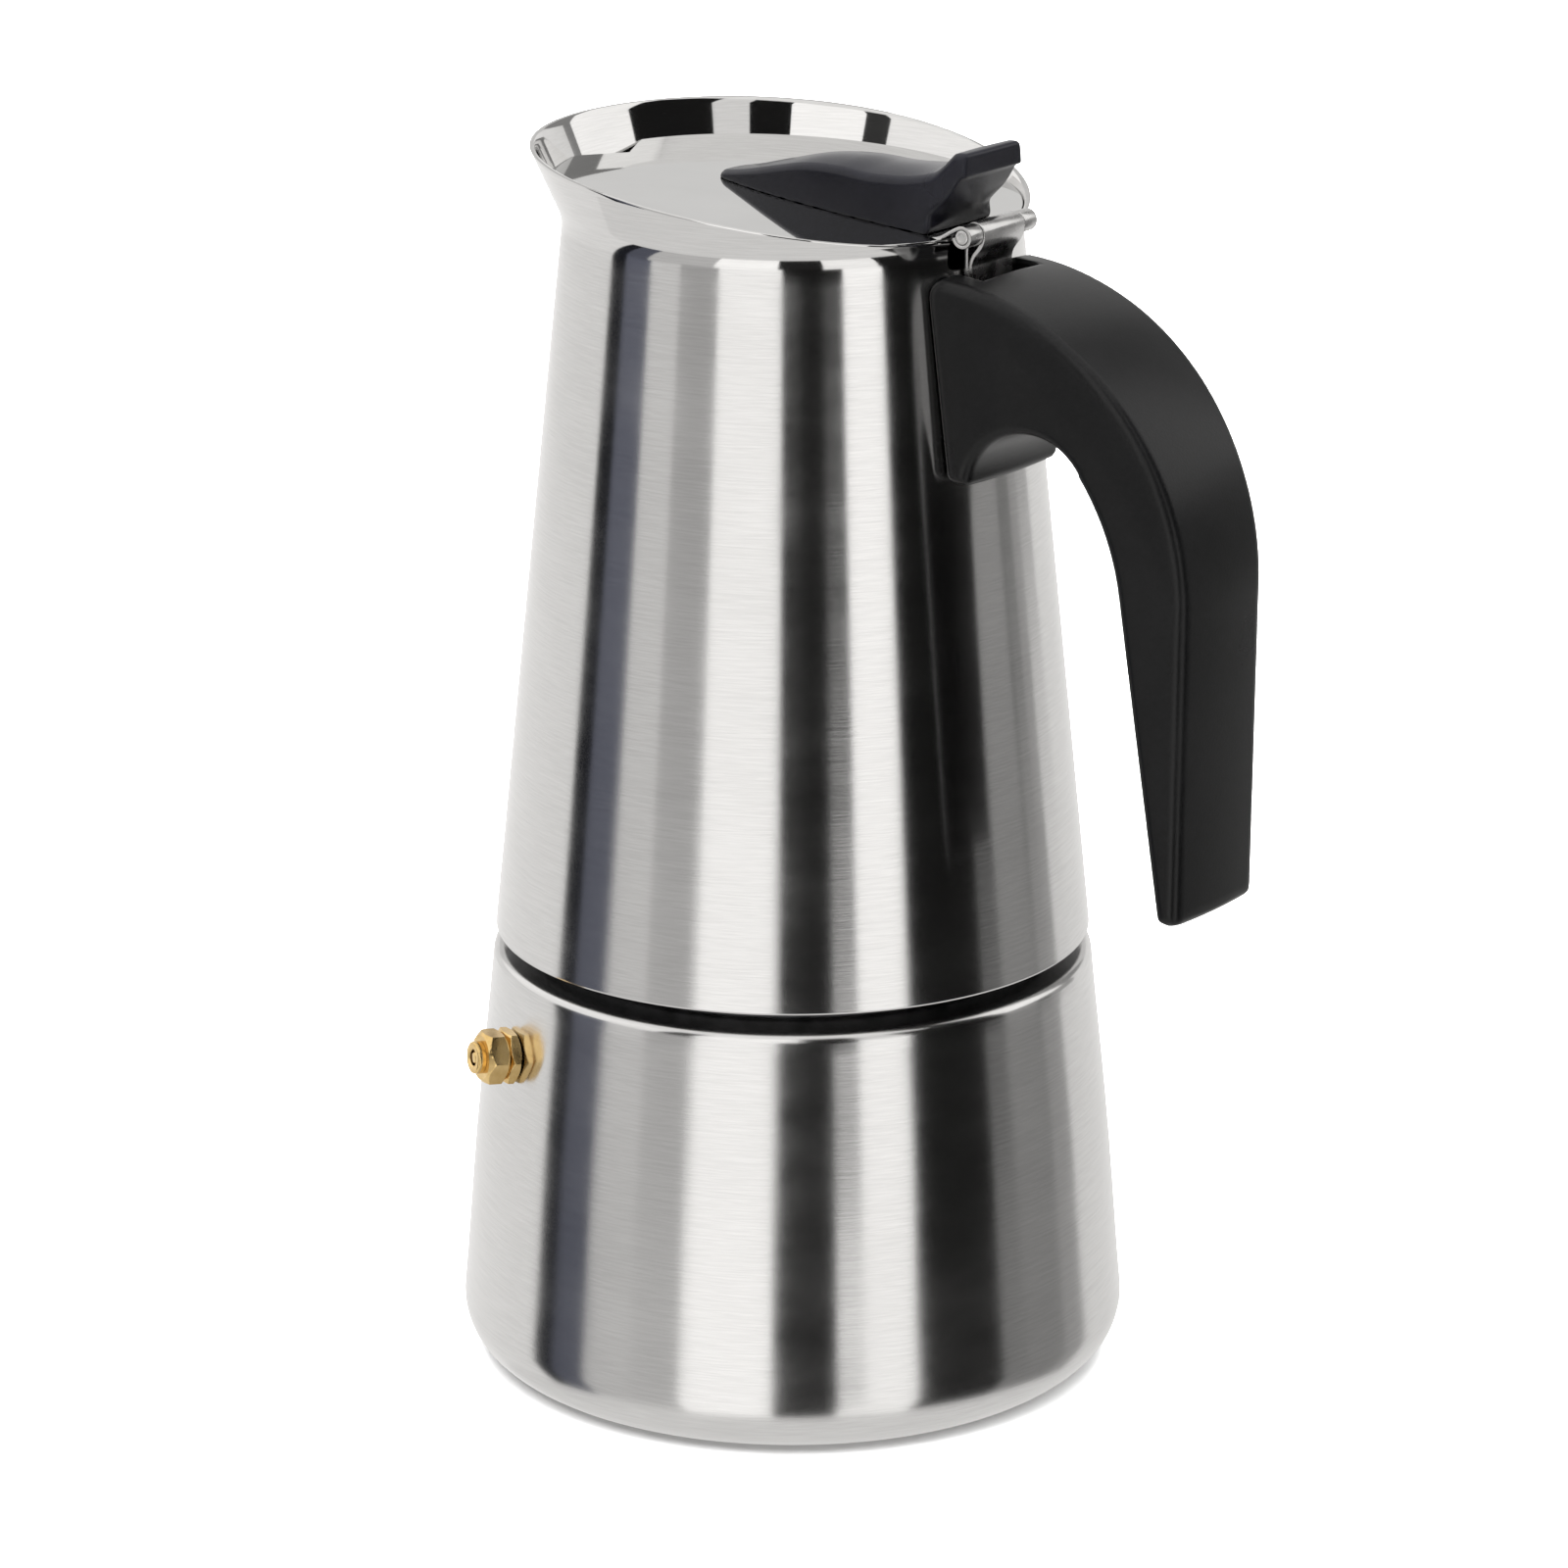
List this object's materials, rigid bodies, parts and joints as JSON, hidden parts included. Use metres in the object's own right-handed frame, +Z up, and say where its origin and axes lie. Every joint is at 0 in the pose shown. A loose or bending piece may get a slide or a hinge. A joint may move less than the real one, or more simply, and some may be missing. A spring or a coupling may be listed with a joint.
{
  "type": "stovetop moka pot",
  "caption": "Tapering stainless steel stovetop coffee maker that unscrews at the waist, with a hinged lid, plastic handle and brass safety valve.",
  "frame": {"origin": "centre of the underside of the base, on the pot's axis", "axes": "+Z up along the pot's axis, +X towards the handle and hinge, -X towards the pouring spout, +Y completes the right-handed frame"},
  "size_m": [0.125, 0.1, 0.1874],
  "materials": {
    "steel_brushed": "stainless sheet brushed round the pot, satin",
    "steel_polished": "stainless sheet polished to a mirror",
    "steel_inner": "plain drawn stainless sheet, dull satin",
    "spring_steel": "drawn spring wire",
    "brass": "turned brass, lightly polished",
    "silicone": "moulded silicone, matte",
    "handle_plastic": "moulded phenolic, fine grain, satin",
    "knob_plastic": "moulded phenolic, smooth satin"
  },
  "bodies": {
    "boiler": {"boiler": "steel_brushed", "valve_nut": "brass", "valve_body": "brass", "valve_cap": "brass", "valve_seal": "silicone", "valve_back_nut": "brass", "valve_spring": "spring_steel"},
    "valve_pin": {"valve_plunger": "brass"},
    "funnel": {"funnel": "steel_inner", "funnel_plate": "steel_inner"},
    "gasket": {"gasket": "silicone"},
    "filter": {"filter_plate": "steel_inner"},
    "collector": {"collector_shell": "steel_brushed", "collector_floor": "steel_inner", "thread_ring": "steel_inner", "column": "steel_inner", "column_cap": "steel_inner", "hinge_strap": "steel_polished", "hinge_pin": "steel_polished", "handle_bracket": "steel_inner", "handle_screw": "steel_inner", "handle": "handle_plastic"},
    "lid": {"lid": "steel_polished", "knob_screws": "steel_inner", "knob": "knob_plastic"}
  },
  "joints": [
    {"name": "collector_lift", "type": "slide", "parent": "boiler", "child": "gasket", "axis": [0, 0, 1], "range_m": [0, 0.12]},
    {"name": "screw_lift", "type": "slide", "parent": "gasket", "child": "filter", "axis": [0, 0, 1], "range_m": [0, 0.0038]},
    {"name": "collector_unscrew", "type": "hinge", "parent": "filter", "child": "collector", "pos_m": [0, 0, 0], "axis": [0, 0, 1], "range_deg": [0, 450]},
    {"name": "lid_hinge", "type": "hinge", "parent": "collector", "child": "lid", "pos_m": [0.0354, 0, 0.1759], "axis": [0, 1, 0], "range_deg": [0, 115]},
    {"name": "funnel_lift", "type": "slide", "parent": "boiler", "child": "funnel", "axis": [0, 0, 1], "range_m": [0, 0.075]},
    {"name": "valve_push", "type": "slide", "parent": "boiler", "child": "valve_pin", "axis": [-0.4598, -0.8832, 0.0924], "range_m": [0, 0.001], "stiffness_N_per_m": 1000, "springref_m": -0.0015, "deforming": ["valve_spring"]}
  ],
  "couplings": [
    {"joint": "screw_lift", "follows": "collector_unscrew", "m_per_rad": 0.00047746},
    {"joint": "funnel_lift", "follows": "collector_lift", "ratio": 0.62}
  ]
}
